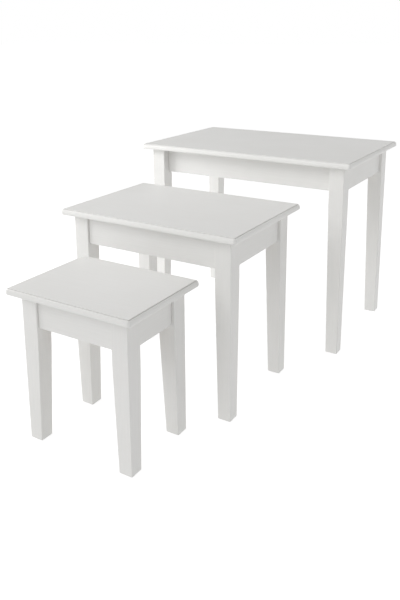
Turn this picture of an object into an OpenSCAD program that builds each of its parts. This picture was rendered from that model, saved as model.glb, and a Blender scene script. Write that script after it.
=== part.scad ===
// A set of three nesting tables, large, medium and small. Each one slides in between the legs of the
// next larger one, under its front apron. Here they stand drawn out in a row, ready for use.
//
// X runs to the right along the width, Y runs from the front to the back and Z runs up. The origin
// lies on the floor, in the middle of the ground that the whole row covers. Lengths are millimetres.

/* [Large table] */
// Width of the large top
large_w = 600; // [560:1:660]
// Depth of the large top
large_d = 385; // [360:1:450]
// Height of the large table
large_h = 500; // [500:1:560]

/* [Medium table] */
// Width of the medium top
medium_w = 450; // [430:1:460]
// Depth of the medium top
medium_d = 315; // [290:1:350]
// Height of the medium table
medium_h = 416; // [414:1:418]

/* [Small table] */
// Width of the small top
small_w = 300; // [280:1:310]
// Depth of the small top
small_d = 230; // [215:1:280]
// Height of the small table
small_h = 328; // [310:1:332]

/* [Row] */
// How far the medium table's front stands out from the large table's front
medium_out = 406; // [340:1:420]
// How far the small table's front stands out from the medium table's front
small_out = 252; // [240:1:400]
// How far the medium table stands to the left of the middle of the row
medium_aside = 8; // [0:1:10]

/* [Top board] */
// Thickness of each top
top_t = 14; // [12:0.5:16]
// How far each top reaches past the outer faces of the legs
overhang = 22; // [14:1:26]
// Radius of a top's corners, seen from above
corner_r = 6.5; // [6.5:0.5:12]
// Width of the moulded edge
mould_w = 5; // [3:0.5:6]
// Depth of the small step between the flat of the top and its moulded edge
step_h = 1.5; // [0.5:0.25:2.5]
// Radius under the moulded edge
nose_r = 4; // [2:0.5:5]

/* [Legs] */
// Width of a square leg at the top
leg_w = 37.5; // [35:0.5:38]
// Width of a leg at the foot
foot_w = 30; // [26:0.5:32]
// How far under the apron the inner faces of a leg start to taper
taper_drop = 30; // [10:1:60]
// Width of the flat that is cut on a leg's inner corner, behind the aprons
leg_flat = 14; // [10:0.5:16]

/* [Aprons] */
// Height of the aprons
apron_h = 66; // [62:1:66]
// Thickness of the aprons
apron_t = 16; // [14:0.5:18]
// How far a front or back apron stands back from the outer faces of the legs
end_setback = 5; // [3:0.5:7]
// How far a side apron stands back from the outer faces of the legs
side_setback = 7; // [4:0.5:8]
// How deep the large table's front apron is let into its front legs
housing = 3; // [1:0.5:4]

/* [Corner blocks] */
// Height of the blocks that brace the corners
block_h = 45; // [40:1:50]
// Where a block starts on an apron, from the corner where the aprons' inner faces would meet
block_near = 30; // [28:1:32]
// Where a block ends on an apron, from the same corner
block_far = 60; // [56:1:62]

/* [Fasteners] */
// Diameter of the dowels between the aprons and the legs
dowel_d = 8; // [6:0.5:8]
// Length of the dowels
dowel_l = 30; // [24:1:32]
// Diameter of the hanger bolt that pulls a leg against its corner block
bolt_d = 6; // [5:0.5:6]
// Diameter of the wood screws
screw_d = 4; // [3:0.5:4]

/* [Glides] */
// Thickness of the glide under a foot
glide_h = 2.5; // [1.5:0.5:4]
// Diameter of the glide
glide_d = 20; // [16:1:22]

/* [Hidden] */
$fn = 48;

TABLES = ["large", "medium", "small"];
PIECES = [
    "top", "front_apron", "right_apron", "back_apron", "left_apron",
    "front_left_leg", "front_right_leg", "back_left_leg", "back_right_leg",
    "corner_blocks", "dowels", "hanger_bolts", "bolt_washers", "bolt_nuts",
    "block_screws", "top_screws", "glides"
];

// Where a hanger bolt starts, from a leg's outer corner along its diagonal
bolt_start = 18;
bolt_tail = 3;
washer_t = 1.6;
washer_d = 14;
nut_t = 5;
nut_d = 11.5;

// A wood screw's head, and the hole that it sinks into
head_d = 8;
head_t = 2.4;
sink_d = 9;
top_screw_sink = 3;
top_screw_l = 50;
block_screw_l = 22;
recess_w = 1;

// Where the screws stand, from the corner where the aprons' inner faces would meet
top_screw_x = 38;
top_screw_y = 7;
block_screw_x = 46;
block_screw_y = 10;
block_screw_drop = 11;

dowel_spread = 36;
dowel_slack = 1;
hole_slack = 0.25;
bolt_drop = apron_h / 2;
foot_ease = 1.5;
run_out_r = 16;
// How far the rounded shoulder of a housing reaches down under the apron
housing_drop = 10;
nail_d = 2.5;
nail_l = 12;
arc_steps = 8;

row_depth = medium_out + small_out + large_d;

// ---- Sizes of one table ----

function pick(t, large, medium, small) = t == "large" ? large : t == "medium" ? medium : small;
function top_w(t) = pick(t, large_w, medium_w, small_w);
function top_d(t) = pick(t, large_d, medium_d, small_d);
function height(t) = pick(t, large_h, medium_h, small_h);
function front_y(t) = pick(t, small_out + medium_out, small_out, 0) - row_depth / 2;
function centre_x(t) = pick(t, 0, -medium_aside, 0);
function centre_y(t) = front_y(t) + top_d(t) / 2;

// Width and depth over the outer faces of the legs
function legs_w(t) = top_w(t) - 2 * overhang;
function legs_d(t) = top_d(t) - 2 * overhang;

// Height of the underside of the top, and of the lower edge of the aprons
function under_top(t) = height(t) - top_t;
function apron_z(t) = under_top(t) - apron_h;

// Whether a corner is one of the large table's front ones, where the front apron is flush with the
// inner faces of the legs. side_y is -1 at the front and 1 at the back.
function is_flush(t, side_y) = t == "large" && side_y < 0;

// How far the apron across the front or the back stands in from the outer faces of the legs
function setback(t, side_y) = is_flush(t, side_y) ? leg_w - apron_t : end_setback;

// Where the hanger bolt comes out of the block's far face, along the leg's diagonal
function block_back(t, side_y) = (side_setback + setback(t, side_y) + 2 * apron_t + block_far) / sqrt(2);
function bolt_end(t, side_y) = block_back(t, side_y) + washer_t + nut_t + bolt_tail;

// Points along a quarter ellipse about a centre, from one angle to another
function arc(x, y, rx, ry, from, to) = [
    for (i = [0 : arc_steps])
        let (a = from + (to - from) * i / arc_steps)
        [x + rx * cos(a), y + ry * sin(a)]
];

// ---- Placing ----

// Moves a piece from the row's middle to the middle of its table
module at_table(t) {
    translate([centre_x(t), centre_y(t), 0]) children();
}

// Puts a piece at one corner of a table. The corner's own origin is the outer corner of the leg,
// with X and Y running inwards. side_x is -1 on the left, side_y is -1 at the front.
module at_corner(t, side_x, side_y) {
    translate([side_x * legs_w(t) / 2, side_y * legs_d(t) / 2, 0])
        mirror([side_x > 0 ? 1 : 0, 0, 0])
            mirror([0, side_y > 0 ? 1 : 0, 0])
                children();
}

// Repeats a piece at the four corners. Its children know from $side_y which end they are at.
module at_each_corner(t) {
    for (side_x = [-1, 1], $side_y = [-1, 1])
        at_corner(t, side_x, $side_y) children();
}

// Moves from a leg's outer corner to the corner where the aprons' inner faces would meet
module inside_aprons(t) {
    translate([side_setback + apron_t, setback(t, $side_y) + apron_t, 0]) children();
}

// A piece and its twin, on the other side of a corner's diagonal
module both_sides() {
    children();
    mirror([1, -1, 0]) children();
}

// Lays a piece along a corner's diagonal, pointing inwards, at a distance from the outer corner
module on_diagonal(distance, z) {
    translate([0, 0, z])
        rotate([0, 0, 45])
            translate([distance, 0, 0])
                rotate([0, 90, 0])
                    children();
}

// ---- Fasteners at one corner, which are also the shapes of their holes ----

// The two dowels at an apron's end. The apron runs along X, set back by its own distance.
module end_dowels(t, apron_setback, slack) {
    start_x = leg_w - dowel_l / 2 - slack;
    middle_z = apron_z(t) + apron_h / 2;
    for (z = [middle_z - dowel_spread / 2, middle_z + dowel_spread / 2])
        translate([start_x, apron_setback + apron_t / 2, z])
            rotate([0, 90, 0])
                cylinder(d = dowel_d, h = dowel_l + 2 * slack);
}

module corner_dowels(t, slack = 0) {
    end_dowels(t, setback(t, $side_y), slack);
    mirror([1, -1, 0]) end_dowels(t, side_setback, slack);
}

module corner_bolt(t, slack = 0) {
    on_diagonal(bolt_start, under_top(t) - bolt_drop)
        cylinder(d = bolt_d + 2 * slack, h = bolt_end(t, $side_y) - bolt_start);
}

module corner_washer(t) {
    on_diagonal(block_back(t, $side_y), under_top(t) - bolt_drop)
        difference() {
            cylinder(d = washer_d, h = washer_t);
            cylinder(d = bolt_d + 2 * hole_slack, h = 3 * washer_t, center = true);
        }
}

module corner_nut(t) {
    on_diagonal(block_back(t, $side_y) + washer_t, under_top(t) - bolt_drop)
        difference() {
            cylinder(d = nut_d, h = nut_t, $fn = 6);
            cylinder(d = bolt_d, h = 3 * nut_t, center = true);
        }
}

// A pan-head wood screw, its shank pointing up from the origin and a cross cut in its head
module wood_screw(length) {
    cylinder(d = screw_d, h = length);
    difference() {
        translate([0, 0, -head_t]) cylinder(d = head_d, h = head_t);
        for (turn = [0, 90])
            translate([0, 0, -head_t])
                rotate([0, 0, turn])
                    cube([head_d / 2, recess_w, head_t], center = true);
    }
}

// The hole of a wood screw: a loose hole, with room for the head at its mouth
module screw_hole(length, mouth) {
    cylinder(d = screw_d + 2 * hole_slack, h = length);
    translate([0, 0, -mouth]) cylinder(d = sink_d, h = mouth);
}

module at_top_screws(t) {
    inside_aprons(t)
        both_sides()
            translate([top_screw_x, top_screw_y, under_top(t) - block_h + top_screw_sink])
                children();
}

module at_block_screws(t) {
    inside_aprons(t)
        both_sides()
            translate([block_screw_x, block_screw_y, under_top(t) - block_screw_drop])
                rotate([90, 0, 0])
                    children();
}

// ---- Top ----

// Section through the top's moulded edge. X = 0 is the centre of the corner radius.
module edge_section() {
    nose_z = nose_r;
    ovolo_h = top_t - step_h - nose_z;
    inner_x = corner_r - mould_w;
    polygon(concat(
        [[0, 0]],
        arc(corner_r - nose_r, nose_z, nose_r, nose_r, -90, 0),
        arc(inner_x, nose_z, mould_w, ovolo_h, 0, 90),
        [[inner_x, top_t], [0, top_t]]
    ));
}

// A board with the moulding run along its four sides and round its four corners
module moulded_board(w, d) {
    flat_w = w - 2 * corner_r;
    flat_d = d - 2 * corner_r;
    translate([-flat_w / 2, -flat_d / 2, 0]) cube([flat_w, flat_d, top_t]);
    for (side = [0 : 3])
        let (
            run = side % 2 == 0 ? flat_w : flat_d,
            reach = (side % 2 == 0 ? flat_d : flat_w) / 2
        )
        rotate([0, 0, 90 * side])
            translate([-run / 2, -reach, 0]) {
                rotate([90, 0, 90]) linear_extrude(run) mirror([1, 0]) edge_section();
                rotate([0, 0, 180]) rotate_extrude(angle = 90) edge_section();
            }
}

module top(t) {
    color("whitesmoke")
        at_table(t)
            difference() {
                translate([0, 0, under_top(t)]) moulded_board(top_w(t), top_d(t));
                at_each_corner(t) at_top_screws(t) cylinder(d = screw_d, h = top_screw_l);
            }
}

// ---- Aprons ----

// A board between two legs, the same on every side of a table before it is turned into place
module apron_board(t, run, reach, apron_setback) {
    translate([-run / 2, apron_setback - reach, apron_z(t)])
        cube([run, apron_t, apron_h]);
}

// What is taken out of the aprons. A hanger bolt only touches a flush apron, at its inner corner.
module apron_holes(t) {
    at_each_corner(t) {
        corner_dowels(t, dowel_slack);
        corner_bolt(t, hole_slack);
        at_block_screws(t) cylinder(d = screw_d, h = block_screw_l);
    }
}

// The apron across the front, where side_y is -1, or the back, where it is 1
module end_apron(t, side_y) {
    run = legs_w(t) - 2 * leg_w + (is_flush(t, side_y) ? 2 * housing : 0);
    color("whitesmoke")
        at_table(t)
            difference() {
                mirror([0, side_y > 0 ? 1 : 0, 0]) apron_board(t, run, legs_d(t) / 2, setback(t, side_y));
                apron_holes(t);
            }
}

// The apron on the left, where side_x is -1, or the right, where it is 1
module side_apron(t, side_x) {
    color("whitesmoke")
        at_table(t)
            difference() {
                rotate([0, 0, 90 * side_x])
                    apron_board(t, legs_d(t) - 2 * leg_w, legs_w(t) / 2, side_setback);
                apron_holes(t);
            }
}

// ---- Legs ----

// A leg's outline seen square on to one face: straight outside, tapered inside
module leg_outline(t) {
    polygon([
        [foot_ease, glide_h],
        [foot_w - foot_ease, glide_h],
        [foot_w, glide_h + foot_ease],
        [leg_w, apron_z(t) - taper_drop],
        [leg_w, under_top(t)],
        [0, under_top(t)],
        [0, glide_h + foot_ease]
    ]);
}

// The material cut away to make the flat on the inner corner. It runs out in a curve under the apron.
module inner_corner_cut(t) {
    depth = leg_w * sqrt(2) - leg_flat / 2;
    low_z = apron_z(t);
    translate([0, 0, low_z])
        rotate([0, 0, 45])
            translate([depth, -leg_w, 0])
                cube([leg_w, 2 * leg_w, apron_h + top_t]);
    translate([0, 0, low_z])
        rotate([0, 0, 45])
            translate([depth + run_out_r, 0, 0])
                rotate([90, 0, 0])
                    cylinder(r = run_out_r, h = 2 * leg_w, center = true);
}

// The housing for a flush apron's end. Its lower shoulder is rounded off, a little under the apron.
module apron_housing(t) {
    low_z = apron_z(t) - housing_drop;
    difference() {
        translate([leg_w - housing, leg_w - apron_t, low_z])
            cube([2 * housing, 2 * apron_t, housing_drop + apron_h + top_t]);
        translate([leg_w, leg_w - apron_t, low_z])
            rotate([0, 90, 0])
                scale([housing_drop, apron_t, 1])
                    cylinder(r = 1, h = 4 * housing, center = true);
    }
}

module leg(t, side_x, side_y) {
    $side_y = side_y;
    color("whitesmoke")
        at_table(t)
            at_corner(t, side_x, side_y)
                difference() {
                    intersection() {
                        translate([0, leg_w, 0]) rotate([90, 0, 0]) linear_extrude(leg_w) leg_outline(t);
                        rotate([90, 0, 90]) linear_extrude(leg_w) leg_outline(t);
                    }
                    if (is_flush(t, side_y)) apron_housing(t);
                    else inner_corner_cut(t);
                    corner_dowels(t, dowel_slack);
                    corner_bolt(t);
                    translate([foot_w / 2, foot_w / 2, 0]) cylinder(d = nail_d, h = glide_h + nail_l);
                }
}

// ---- Corner blocks, dowels, bolts and screws, each as the four corners' set ----

module corner_blocks(t) {
    color("burlywood")
        at_table(t)
            at_each_corner(t)
                difference() {
                    inside_aprons(t)
                        translate([0, 0, under_top(t) - block_h])
                            linear_extrude(block_h)
                                polygon([[block_near, 0], [block_far, 0], [0, block_far], [0, block_near]]);
                    corner_bolt(t, hole_slack);
                    at_top_screws(t) screw_hole(top_screw_l, 2 * top_screw_sink);
                    at_block_screws(t) screw_hole(block_screw_l, block_far);
                }
}

module dowels(t) {
    color("tan") at_table(t) at_each_corner(t) corner_dowels(t);
}

module hanger_bolts(t) {
    color("silver") at_table(t) at_each_corner(t) corner_bolt(t);
}

module bolt_washers(t) {
    color("silver") at_table(t) at_each_corner(t) corner_washer(t);
}

module bolt_nuts(t) {
    color("silver") at_table(t) at_each_corner(t) corner_nut(t);
}

module block_screws(t) {
    color("gold") at_table(t) at_each_corner(t) at_block_screws(t) wood_screw(block_screw_l);
}

module top_screws(t) {
    color("gold") at_table(t) at_each_corner(t) at_top_screws(t) wood_screw(top_screw_l);
}

// ---- Glides ----

// Nail-on glides, one in the middle of each foot
module glides(t) {
    color("ivory")
        at_table(t)
            at_each_corner(t)
                translate([foot_w / 2, foot_w / 2, 0]) {
                    cylinder(d1 = glide_d - glide_h, d2 = glide_d, h = glide_h);
                    cylinder(d = nail_d, h = glide_h + nail_l);
                }
}

for (t = TABLES) {
    top(t);
    end_apron(t, -1);
    side_apron(t, 1);
    end_apron(t, 1);
    side_apron(t, -1);
    leg(t, -1, -1);
    leg(t, 1, -1);
    leg(t, -1, 1);
    leg(t, 1, 1);
    corner_blocks(t);
    dowels(t);
    hanger_bolts(t);
    bolt_washers(t);
    bolt_nuts(t);
    block_screws(t);
    top_screws(t);
    glides(t);
}
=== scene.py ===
"""A nest of three white lacquered tables, drawn out in a row on a pale floor. Lengths are metres."""

import math

import bmesh
import bpy
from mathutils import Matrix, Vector


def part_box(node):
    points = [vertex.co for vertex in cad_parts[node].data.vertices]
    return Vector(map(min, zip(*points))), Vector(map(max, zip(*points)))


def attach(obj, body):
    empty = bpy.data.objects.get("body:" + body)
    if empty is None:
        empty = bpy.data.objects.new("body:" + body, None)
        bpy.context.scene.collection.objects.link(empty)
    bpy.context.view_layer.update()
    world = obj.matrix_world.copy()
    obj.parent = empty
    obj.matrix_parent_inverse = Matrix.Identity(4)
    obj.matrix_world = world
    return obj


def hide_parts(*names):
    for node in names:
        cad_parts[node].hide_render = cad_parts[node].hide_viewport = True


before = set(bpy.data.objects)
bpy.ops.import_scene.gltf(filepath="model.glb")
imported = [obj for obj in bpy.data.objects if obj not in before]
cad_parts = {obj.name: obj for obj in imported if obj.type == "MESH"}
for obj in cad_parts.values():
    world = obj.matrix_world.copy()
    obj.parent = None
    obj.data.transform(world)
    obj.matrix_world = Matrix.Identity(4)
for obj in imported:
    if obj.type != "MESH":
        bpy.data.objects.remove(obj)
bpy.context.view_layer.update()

TABLES = ["large", "medium", "small"]
APRONS = {"front_apron": 0, "back_apron": 0, "left_apron": 1, "right_apron": 1}
LEGS = {
    "front_left_leg": (-1, -1),
    "front_right_leg": (1, -1),
    "back_left_leg": (-1, 1),
    "back_right_leg": (1, 1),
}

# The moulded edge of a top
CORNER_R = 0.0065
MOULD_W = 0.005
STEP_H = 0.0015
NOSE_R = 0.004
STEP_ARRIS = 0.0005
QUIRK_W = 0.0017
QUIRK_DEPTH = 0.0015
QUIRK_SLOPE = 0.0002

# How far in from the edge the flats above and below a top begin
FLAT_INSET = CORNER_R - 0.0005

# Faces that meet at more than this many degrees keep a sharp edge between them
SHARP_ANGLE = 34

# Edges of the CAD nodes that turn by more degrees than this are rounded off
BEVEL_ANGLE = 30

# Points closer than this are one point
SAME_POINT = 0.000005

# Legs and aprons
LEG_ARRIS = 0.0016
CORNER_STEPS = 6
APRON_ARRIS = 0.0012
JOINT_GROOVE = 0.0008
FOOT_W = 0.030
FOOT_EASE = 0.0015
TAPER_DROP = 0.030
KNEE = 0.020
FLAT_DEPTH = 0.007
RUN_OUT_R = 0.016

# Steps along a leg's straight taper, its knee and the curves under the apron
TAPER_STEPS = 6
KNEE_STEPS = 8
CURVE_STEPS = 10
HOUSING_STEPS = 9

# The large table's front apron is let into its front legs, flush with their inner faces
FLUSH_LEGS = ["large_front_left_leg", "large_front_right_leg"]
HOUSING = 0.003
HOUSING_DROP = 0.010


# ---- Mesh ----

def arc(x, y, rx, ry, start, end, steps):
    """Points along a quarter ellipse, angles in degrees."""
    points = []
    for i in range(steps + 1):
        angle = math.radians(start + (end - start) * i / steps)
        points.append((x + rx * math.cos(angle), y + ry * math.sin(angle)))
    return points


def rounded_rectangle(low, high, radius, steps=8):
    """Outline from the corner low to the corner high, anticlockwise, with round corners."""
    x0, y0 = low
    x1, y1 = high
    return (
        arc(x1 - radius, y1 - radius, radius, radius, 0, 90, steps)
        + arc(x0 + radius, y1 - radius, radius, radius, 90, 180, steps)
        + arc(x0 + radius, y0 + radius, radius, radius, 180, 270, steps)
        + arc(x1 - radius, y0 + radius, radius, radius, 270, 360, steps)
    )


def loft(name, rings):
    """A closed mesh through rings of points, all of the same count, with a face over each end."""
    bm = bmesh.new()
    loops = [[bm.verts.new(point) for point in ring] for ring in rings]
    count = len(rings[0])
    for lower, upper in zip(loops, loops[1:]):
        for i in range(count):
            j = (i + 1) % count
            bm.faces.new((lower[i], lower[j], upper[j], upper[i]))
    bm.faces.new(loops[0])
    bm.faces.new(loops[-1])
    bmesh.ops.remove_doubles(bm, verts=bm.verts, dist=SAME_POINT)
    bmesh.ops.recalc_face_normals(bm, faces=bm.faces)
    mesh = bpy.data.meshes.new(name)
    bm.to_mesh(mesh)
    bm.free()
    mesh.shade_smooth()
    mesh.set_sharp_from_angle(angle=math.radians(SHARP_ANGLE))
    piece = bpy.data.objects.new(name, mesh)
    bpy.context.collection.objects.link(piece)
    weighted = piece.modifiers.new("Flat faces stay flat", "WEIGHTED_NORMAL")
    weighted.keep_sharp = True
    weighted.weight = 80
    return piece


def stand_for(piece, table, node, material):
    """Makes a piece take the place of a CAD node."""
    piece.data.materials.append(material)
    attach(piece, f"{table}_table")
    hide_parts(f"{table}_{node}")


# ---- Tops ----

def edge_profile(thickness):
    """Inset from the outline and height, from the underside over the moulding to the flat top."""
    bead_h = thickness - STEP_H - NOSE_R
    bead_w = MOULD_W - QUIRK_W
    quirk_floor = thickness - STEP_H - QUIRK_DEPTH
    under = [(NOSE_R - x, NOSE_R + y) for x, y in arc(0, 0, NOSE_R, NOSE_R, -90, 0, 8)]
    bead = [(bead_w - x, NOSE_R + y) for x, y in arc(0, 0, bead_w, bead_h, 0, 90, 14)]
    arris = arc(MOULD_W + STEP_ARRIS, thickness - STEP_ARRIS, STEP_ARRIS, STEP_ARRIS, 180, 90, 4)
    return (
        [(FLAT_INSET, 0)]
        + under
        + bead[1:]
        + [(bead_w + QUIRK_SLOPE, quirk_floor), (MOULD_W, quirk_floor)]
        + arris
        + [(FLAT_INSET, thickness)]
    )


def make_top(table, material):
    low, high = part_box(f"{table}_top")
    rings = []
    for inset, height in edge_profile(high[2] - low[2]):
        outline = rounded_rectangle(
            (low[0] + inset, low[1] + inset), (high[0] - inset, high[1] - inset), CORNER_R - inset
        )
        rings.append([(x, y, low[2] + height) for x, y in outline])
    stand_for(loft(f"{table}_top_board", rings), table, "top", material)


# ---- Aprons ----

def make_apron(table, node, along, material):
    """A board along X (0) or Y (1), its edges softened. Its ends leave a fine groove by the legs."""
    low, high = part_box(f"{table}_{node}")
    across = 1 - along
    start, end = low[along], high[along]
    stations = [
        (start, JOINT_GROOVE),
        (start + JOINT_GROOVE, 0),
        (end - JOINT_GROOVE, 0),
        (end, JOINT_GROOVE),
    ]
    rings = []
    for place, inset in stations:
        section = rounded_rectangle(
            (low[across] + inset, low[2] + inset), (high[across] - inset, high[2] - inset), APRON_ARRIS, 4
        )
        ring = []
        for side, height in section:
            point = [0, 0, height]
            point[along] = place
            point[across] = side
            ring.append(point)
        rings.append(ring)
    stand_for(loft(f"{table}_{node}_board", rings), table, node, material)


# ---- Legs ----

def smooth_taper(height, foot, knee, foot_width, top_width):
    """Width of a leg at a height: a straight taper that eases into the square part at the knee."""
    slope = (top_width - foot_width) / (knee - foot)
    if height <= knee - KNEE:
        return foot_width + slope * (height - foot)
    if height >= knee + KNEE:
        return top_width
    left = knee + KNEE - height
    return top_width - slope * left * left / (4 * KNEE)


def flat_depth(height, apron_low):
    """How deep the inner corner is cut away: full behind the aprons, run out in a curve below."""
    drop = max(0, apron_low - height)
    if drop >= RUN_OUT_R:
        return 0
    return max(0, FLAT_DEPTH - RUN_OUT_R + math.sqrt(RUN_OUT_R**2 - drop**2))


def flattened(outline, depth):
    """A leg's outline, from its outer corner at 0, 0, with the inner corner cut flat to a depth."""
    cut = depth * math.sqrt(2)
    if cut <= LEG_ARRIS:
        return outline
    inner = outline[0][0]
    flat = []
    for i in range(CORNER_STEPS + 1):
        share = cut * i / CORNER_STEPS
        flat.append((inner - share, inner - cut + share))
    return flat + outline[CORNER_STEPS + 1 :]


def housed(outline, drop, apron_t):
    """A leg's outline at a drop under the apron, its inner side let in for a flush apron's end."""
    inner, start = outline[0]
    rise = 1 - max(0, drop) / HOUSING_DROP
    depth = 0
    if rise > 0:
        depth = HOUSING
        start = min(start, inner - apron_t * (1 - math.sqrt(1 - rise * rise)))
    corner = [(x - depth, y) for x, y in outline[: CORNER_STEPS + 1]]
    return [(inner, start), (inner - depth, start)] + corner + outline[CORNER_STEPS + 1 :]


def leg_heights(foot, apron_low, top):
    """Heights of a leg's sections, close together where its shape changes."""
    knee = apron_low - TAPER_DROP
    straight = knee - KNEE - foot
    run_out = math.sqrt(RUN_OUT_R**2 - (RUN_OUT_R - FLAT_DEPTH) ** 2)
    housing_low = apron_low - HOUSING_DROP
    heights = [foot, foot + FOOT_EASE * 0.4, foot + FOOT_EASE]
    heights += [foot + straight * i / TAPER_STEPS for i in range(1, TAPER_STEPS)]
    heights += [knee - KNEE + 2 * KNEE * i / KNEE_STEPS for i in range(KNEE_STEPS + 1)]
    heights += [apron_low - run_out * (1 - i / CURVE_STEPS) for i in range(CURVE_STEPS + 1)]
    for i in range(HOUSING_STEPS + 1):
        heights.append(housing_low + HOUSING_DROP * math.sin(math.radians(90 * i / HOUSING_STEPS)))
    heights += [housing_low + 2 * SAME_POINT]
    heights += [top]
    return sorted(set(heights))


def make_leg(table, node, sides, material):
    low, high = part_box(f"{table}_{node}")
    apron_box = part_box(f"{table}_front_apron")
    apron_low = apron_box[0][2]
    apron_t = apron_box[1][1] - apron_box[0][1]
    side_x, side_y = sides
    outer_x = high[0] if side_x > 0 else low[0]
    outer_y = high[1] if side_y > 0 else low[1]
    top_width = high[0] - low[0]
    knee = apron_low - TAPER_DROP
    rings = []
    for height in leg_heights(low[2], apron_low, high[2]):
        width = smooth_taper(height, low[2], knee, FOOT_W, top_width)
        inset = max(0, FOOT_EASE - (height - low[2])) ** 2 / FOOT_EASE
        far = width - inset
        outline = rounded_rectangle((inset, inset), (far, far), LEG_ARRIS, CORNER_STEPS)
        if f"{table}_{node}" in FLUSH_LEGS:
            section = housed(outline, apron_low - height, apron_t)
        else:
            section = flattened(outline, flat_depth(height, apron_low))
        rings.append([(outer_x - side_x * x, outer_y - side_y * y, height) for x, y in section])
    stand_for(loft(f"{table}_{node}_post", rings), table, node, material)


# ---- Materials ----

class Nodes:
    """Short calls for building one material's node tree."""

    def __init__(self, name):
        self.material = bpy.data.materials.new(name)
        self.material.use_nodes = True
        self.tree = self.material.node_tree
        self.shader = self.tree.nodes["Principled BSDF"]

    def add(self, kind, values=None, **settings):
        """Adds a node. values maps an input's name or number to a value or to another node's output."""
        node = self.tree.nodes.new(kind)
        for key, value in settings.items():
            setattr(node, key, value)
        self.feed(node, values or {})
        return node

    def feed(self, node, values):
        for key, value in values.items():
            if isinstance(value, bpy.types.NodeSocket):
                self.tree.links.new(value, node.inputs[key])
            else:
                node.inputs[key].default_value = value

    def place(self, scale):
        """The object's own coordinates, stretched by a scale along each axis."""
        coordinates = self.add("ShaderNodeTexCoord")
        mapping = self.add("ShaderNodeMapping", {"Vector": coordinates.outputs["Object"], "Scale": scale})
        return mapping.outputs["Vector"]

    def noise(self, scale, size=1.0, detail=3.0, roughness=0.5):
        values = {"Vector": self.place(scale), "Scale": size, "Detail": detail, "Roughness": roughness}
        return self.add("ShaderNodeTexNoise", values).outputs["Fac"]

    def ramp(self, factor, *stops):
        """A colour ramp through (position, colour) stops."""
        node = self.add("ShaderNodeValToRGB", {"Fac": factor})
        elements = node.color_ramp.elements
        for (position, colour), element in zip(stops, list(elements)[:2]):
            element.position = position
            element.color = (*colour, 1)
        for position, colour in stops[2:]:
            elements.new(position).color = (*colour, 1)
        return node.outputs["Color"]

    def span(self, factor, low, high):
        """Spreads a 0 to 1 factor between two values."""
        node = self.add("ShaderNodeMapRange", {"Value": factor, "To Min": low, "To Max": high})
        return node.outputs["Result"]

    def mix(self, factor, first, second, blend="MIX"):
        values = {0: factor, 6: first, 7: second}
        node = self.add("ShaderNodeMix", values, data_type="RGBA", blend_type=blend)
        return node.outputs[2]

    def bump(self, height, distance, strength=1.0, normal=None):
        values = {"Height": height, "Distance": distance, "Strength": strength}
        if normal is not None:
            values["Normal"] = normal
        return self.add("ShaderNodeBump", values).outputs["Normal"]

    def finish(self, **values):
        self.feed(self.shader, {key.replace("_", " "): value for key, value in values.items()})
        return self.material


def along_grain(axis, across, along):
    """Texture scale that stretches a pattern out along one axis."""
    scale = [across, across, across]
    scale[axis] = along
    return tuple(scale)


def edge_mask(nodes, radius):
    """Close to 1 along arrises and 0 on flats."""
    bevel = nodes.add("ShaderNodeBevel", {"Radius": radius}, samples=4)
    geometry = nodes.add("ShaderNodeNewGeometry")
    dot = nodes.add(
        "ShaderNodeVectorMath",
        {0: bevel.outputs["Normal"], 1: geometry.outputs["True Normal"]},
        operation="DOT_PRODUCT",
    )
    values = {"Value": dot.outputs["Value"], "From Min": 1.0, "From Max": 0.86}
    return nodes.add("ShaderNodeMapRange", values).outputs["Result"]


def white_lacquer(axis):
    """Satin white paint on wood, the grain along one axis showing faintly through it."""
    nodes = Nodes("white_lacquer_" + "xyz"[axis])
    cloud = nodes.noise((1, 1, 1), size=5, detail=4)
    streaks = nodes.noise(along_grain(axis, 1, 0.035), size=420, detail=5, roughness=0.62)
    pores = nodes.noise(along_grain(axis, 1, 0.02), size=1300, detail=2)
    peel = nodes.noise((1, 1, 1), size=900, detail=1)
    colour = nodes.ramp(cloud, (0.3, (0.80, 0.795, 0.775)), (0.7, (0.83, 0.825, 0.81)))
    grain = nodes.ramp(streaks, (0.35, (0.93, 0.93, 0.925)), (0.6, (1, 1, 1)))
    colour = nodes.mix(0.3, colour, grain, "MULTIPLY")
    # Painted highlight: the colour turns lighter along the arrises, where the rounded edges would catch
    # the light
    painted_highlight = edge_mask(nodes, 0.0015)
    colour = nodes.mix(nodes.span(painted_highlight, 0, 0.3), colour, (0.87, 0.865, 0.845, 1))
    rough = nodes.span(nodes.noise((1, 1, 1), size=40, detail=4), 0.36, 0.50)
    normal = nodes.bump(streaks, 0.00018, 0.3)
    normal = nodes.bump(pores, 0.00008, 0.35, normal)
    normal = nodes.bump(peel, 0.00005, 0.4, normal)
    return nodes.finish(
        Base_Color=colour, Roughness=rough, Normal=normal, Coat_Weight=0.15, Coat_Roughness=0.3
    )


def raw_wood(name, pale, dark, axis, ring_size):
    """Unfinished wood: growth rings and fine fibres."""
    nodes = Nodes(name)
    warp = nodes.noise(along_grain(axis, 1, 0.15), size=18, detail=3)
    place = nodes.place(along_grain(axis, 1, 0.08))
    values = {"Vector": place, "Scale": ring_size, "Distortion": 6.0, "Detail": 3.0}
    rings = nodes.add("ShaderNodeTexWave", values, bands_direction="DIAGONAL").outputs["Fac"]
    fibres = nodes.noise(along_grain(axis, 1, 0.03), size=1500, detail=3)
    colour = nodes.ramp(rings, (0.1, pale), (0.9, dark))
    colour = nodes.mix(nodes.span(warp, 0.1, 0.5), colour, (*pale, 1))
    colour = nodes.mix(nodes.span(fibres, 0.0, 0.3), colour, (*dark, 1), "MULTIPLY")
    normal = nodes.bump(fibres, 0.0002, 0.6)
    return nodes.finish(Base_Color=colour, Roughness=nodes.span(fibres, 0.62, 0.8), Normal=normal)


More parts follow.
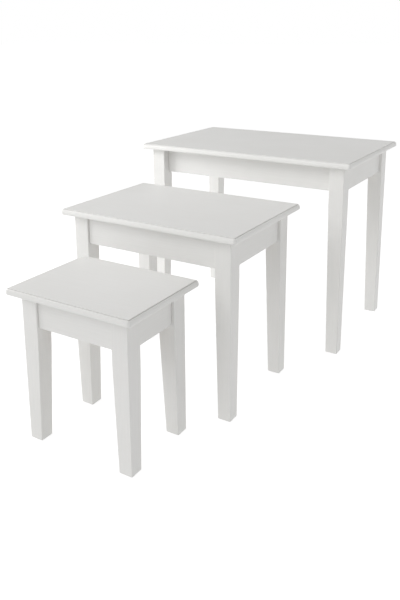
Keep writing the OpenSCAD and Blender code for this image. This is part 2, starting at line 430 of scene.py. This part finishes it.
def plated_steel(name, bright, dull, roughness):
    """Zinc plated steel: cloudy plating with fine drawing lines."""
    nodes = Nodes(name)
    cloud = nodes.noise((1, 1, 1), size=160, detail=5)
    lines = nodes.noise((1, 1, 0.1), size=2600, detail=2)
    colour = nodes.ramp(cloud, (0.35, dull), (0.65, bright))
    rough = nodes.span(cloud, roughness + 0.12, roughness)
    normal = nodes.bump(lines, 0.00004, 0.5)
    return nodes.finish(Base_Color=colour, Roughness=rough, Normal=normal, Metallic=1.0)


def moulded_nylon():
    nodes = Nodes("nylon")
    cloud = nodes.noise((1, 1, 1), size=90, detail=3)
    grain = nodes.noise((1, 1, 1), size=2400, detail=2)
    colour = nodes.ramp(cloud, (0.3, (0.74, 0.73, 0.69)), (0.7, (0.80, 0.79, 0.75)))
    normal = nodes.bump(grain, 0.00006, 0.5)
    return nodes.finish(Base_Color=colour, Roughness=nodes.span(grain, 0.5, 0.62), Normal=normal)


def soften(node, material, width):
    """Gives a CAD node its material and small rounded arrises."""
    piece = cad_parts[node]
    piece.data.materials.clear()
    piece.data.materials.append(material)
    dissolve = piece.modifiers.new("One face a flat", "DECIMATE")
    dissolve.decimate_type = "DISSOLVE"
    dissolve.angle_limit = math.radians(1)
    bevel = piece.modifiers.new("Soft arrises", "BEVEL")
    bevel.width = width
    bevel.segments = 2
    bevel.limit_method = "ANGLE"
    bevel.angle_limit = math.radians(BEVEL_ANGLE)
    bevel.use_clamp_overlap = True


# ---- Stage ----

def make_floor(name, size, material):
    """A flat sheet on the ground, its grid of faces made in code."""
    bm = bmesh.new()
    bmesh.ops.create_grid(bm, x_segments=8, y_segments=8, size=size / 2)
    mesh = bpy.data.meshes.new(name)
    bm.to_mesh(mesh)
    bm.free()
    floor = bpy.data.objects.new(name, mesh)
    bpy.context.collection.objects.link(floor)
    floor.data.materials.append(material)
    return floor


def paper(name, shade, glow):
    """Matt studio paper. The glow keeps the shadows on it faint."""
    nodes = Nodes(name)
    cloud = nodes.noise((1, 1, 1), size=2, detail=3)
    low, high = (shade - 0.01,) * 3, (shade + 0.01,) * 3
    colour = nodes.ramp(cloud, (0.3, low), (0.7, high))
    return nodes.finish(
        Base_Color=colour, Roughness=0.9, Emission_Color=(1, 1, 1, 1), Emission_Strength=glow
    )


def make_stage():
    """A white floor for the camera, and a plainer one just under it that throws light back up."""
    seen = make_floor("floor", 60, paper("white_paper", 0.35, 0.80))
    seen.visible_diffuse = False
    bounce = make_floor("bounce_floor", 60, paper("bounce_paper", 0.72, 0.40))
    bounce.location.z = -0.0005
    bounce.visible_camera = False


def make_light(name, place, target, size, power):
    data = bpy.data.lights.new(name, "AREA")
    data.shape = "RECTANGLE"
    data.size, data.size_y = size
    data.energy = power
    light = bpy.data.objects.new(name, data)
    light.location = place
    light.rotation_mode = "QUATERNION"
    light.rotation_quaternion = (Vector(target) - Vector(place)).to_track_quat("-Z", "Y")
    bpy.context.collection.objects.link(light)


def make_world(ambient):
    """Soft light from all round, in front of a white background."""
    world = bpy.data.worlds.new("studio")
    world.use_nodes = True
    tree = world.node_tree
    path = tree.nodes.new("ShaderNodeLightPath")
    spread = tree.nodes.new("ShaderNodeMapRange")
    spread.inputs["To Min"].default_value = ambient
    spread.inputs["To Max"].default_value = 1.0
    background = tree.nodes["Background"]
    background.inputs["Color"].default_value = (1, 1, 1, 1)
    tree.links.new(path.outputs["Is Camera Ray"], spread.inputs["Value"])
    tree.links.new(spread.outputs["Result"], background.inputs["Strength"])
    bpy.context.scene.world = world


def make_sun(strength, azimuth, elevation, angle):
    """A broad, soft main light. Azimuth 0 shines from the front, 90 from the left, in degrees."""
    data = bpy.data.lights.new("key", "SUN")
    data.energy = strength
    data.angle = math.radians(angle)
    light = bpy.data.objects.new("key", data)
    light.rotation_euler = (math.radians(90 - elevation), 0, math.radians(-azimuth))
    bpy.context.collection.objects.link(light)


def make_camera():
    data = bpy.data.cameras.new("camera")
    data.lens = 40.6
    data.sensor_width = 36
    data.shift_y = -0.183
    camera = bpy.data.objects.new("camera", data)
    camera.location = (0.809, -1.3625, 0.809)
    camera.rotation_euler = (math.radians(90 - 13.41), math.radians(0.35), math.radians(31.47))
    bpy.context.collection.objects.link(camera)
    bpy.context.scene.camera = camera


# ---- Assembly ----

lacquer = [white_lacquer(axis) for axis in range(3)]
pine = raw_wood("raw_pine", (0.78, 0.62, 0.42), (0.56, 0.37, 0.19), 2, 60)
beech = raw_wood("beech_dowel", (0.76, 0.60, 0.44), (0.62, 0.44, 0.30), 0, 160)
zinc = plated_steel("zinc_steel", (0.72, 0.73, 0.75), (0.52, 0.53, 0.55), 0.28)
yellow = plated_steel("yellow_zinc", (0.78, 0.64, 0.34), (0.58, 0.48, 0.26), 0.3)
nylon = moulded_nylon()

CARRIED_OVER = {
    "corner_blocks": (pine, 0.0008),
    "dowels": (beech, 0.0008),
    "hanger_bolts": (zinc, 0.0005),
    "bolt_washers": (zinc, 0.0002),
    "bolt_nuts": (zinc, 0.0004),
    "block_screws": (yellow, 0.0003),
    "top_screws": (yellow, 0.0003),
    "glides": (nylon, 0.0004),
}

for table in TABLES:
    make_top(table, lacquer[0])
    for node, along in APRONS.items():
        make_apron(table, node, along, lacquer[along])
    for node, sides in LEGS.items():
        make_leg(table, node, sides, lacquer[2])
    for node, (material, width) in CARRIED_OVER.items():
        soften(f"{table}_{node}", material, width)

make_stage()
make_world(0.43)
make_sun(0.66, 12, 38, 35)
make_light("softbox", (-0.6, -1.0, 1.9), (0, 0.1, 0.3), (1.6, 1.6), 1.5)
make_light("overhead", (0, 0.5, 2.2), (0, 0.1, 0.3), (1.2, 1.2), 4)
make_light("side fill", (-1.5, -0.62, 0.9), (0, 0.2, 0.3), (0.9, 1.2), 17)
make_light("right fill", (1.6, -0.1, 0.8), (0.1, 0.1, 0.1), (0.9, 1.2), 1.2)
make_light("back light", (0.9, 1.9, 1.7), (0.1, 0.3, 0.5), (1.2, 1.2), 5)
make_camera()
bpy.context.scene.view_settings.view_transform = "Standard"
